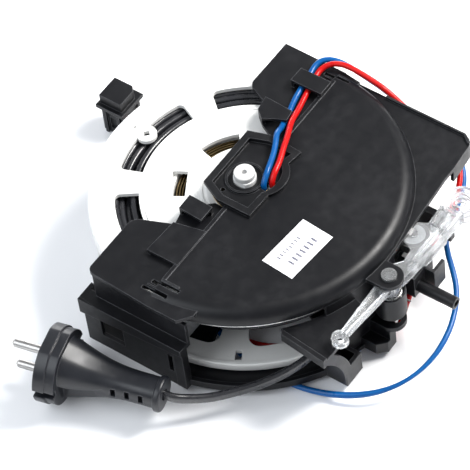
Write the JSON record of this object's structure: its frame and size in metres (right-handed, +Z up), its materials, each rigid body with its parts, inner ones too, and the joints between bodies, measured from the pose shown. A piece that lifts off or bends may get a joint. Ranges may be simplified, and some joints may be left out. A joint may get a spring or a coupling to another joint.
{
  "type": "extension cord reel",
  "caption": "Spring-driven mains cord reel: windowed flange drum in an open half frame with half cover, contact box, roller brake lever, wound flat cord, moulded plug and connector leads.",
  "frame": {"origin": "on the drum axis, in the plane of the frame's underside", "axes": "+Z up along the drum axis towards the cover; +X along the cover's straight edge; -Y towards the brake lever and locating peg; the drum overhangs the frame towards +Y"},
  "size_m": [0.2468, 0.2534, 0.0707],
  "materials": {
    "black_moulding": "satin black polypropylene",
    "white_moulding": "natural white acetal, satin gloss",
    "clear_moulding": "clear polycarbonate",
    "cord_jacket": "dark grey flexible PVC jacket, semi gloss",
    "plug_moulding": "dark grey moulded PVC, satin",
    "red_lead": "red PVC insulation",
    "blue_lead": "blue PVC insulation",
    "contact_brass": "bright brass",
    "spring_steel": "tempered blue-brown spring steel",
    "steel": "zinc plated steel",
    "nickel": "nickel plated brass",
    "brush_carbon": "carbon copper brush",
    "tyre_rubber": "black rubber",
    "label_paper": "white paper label, blank"
  },
  "bodies": {
    "frame": {"base_frame": "black_moulding", "top_cover": "black_moulding", "label_plate": "label_paper", "contact_box": "black_moulding", "contact_blade_live": "contact_brass", "contact_blade_neutral": "contact_brass", "contact_brushes": "brush_carbon", "centre_axle": "white_moulding", "axle_screws": "steel", "spring_arbor": "steel", "axle_cap": "white_moulding", "lever_pin": "clear_moulding", "pin_clip": "steel", "lever_spring": "steel", "wire_blue": "blue_lead", "wire_red": "red_lead", "connector_housing": "black_moulding", "connector_terminals": "contact_brass", "cord_lead": "cord_jacket", "plug_body": "plug_moulding", "plug_core": "black_moulding", "plug_pins": "nickel"},
    "drum": {"drum_lower_half": "white_moulding", "drum_upper_half": "white_moulding", "spring_cup_lid": "white_moulding", "spiral_spring": "spring_steel", "slip_ring_carrier": "white_moulding", "slip_ring_outer": "contact_brass", "slip_ring_inner": "contact_brass", "bus_strip_live": "contact_brass", "bus_strip_neutral": "contact_brass", "cord_winding": "cord_jacket", "cord_clamp": "black_moulding", "clamp_screws": "steel"},
    "lever": {"brake_lever": "clear_moulding", "roller_pin": "steel"},
    "roller": {"brake_roller": "white_moulding", "roller_tyre": "tyre_rubber"}
  },
  "joints": [
    {"name": "drum_spin", "type": "hinge", "parent": "frame", "child": "drum", "pos_m": [0, 0, 0.034], "axis": [0, 0, 1], "continuous": true, "deforming": ["spiral_spring"]},
    {"name": "brake_lever_pivot", "type": "hinge", "parent": "frame", "child": "lever", "pos_m": [-0.01, -0.0975, 0.038], "axis": [0, 0, 1], "range_deg": [-9, 0], "deforming": ["lever_spring"]},
    {"name": "brake_roller_spin", "type": "hinge", "parent": "lever", "child": "roller", "pos_m": [0.022, -0.0915, 0.0493], "axis": [0, 0, 1], "continuous": true}
  ]
}
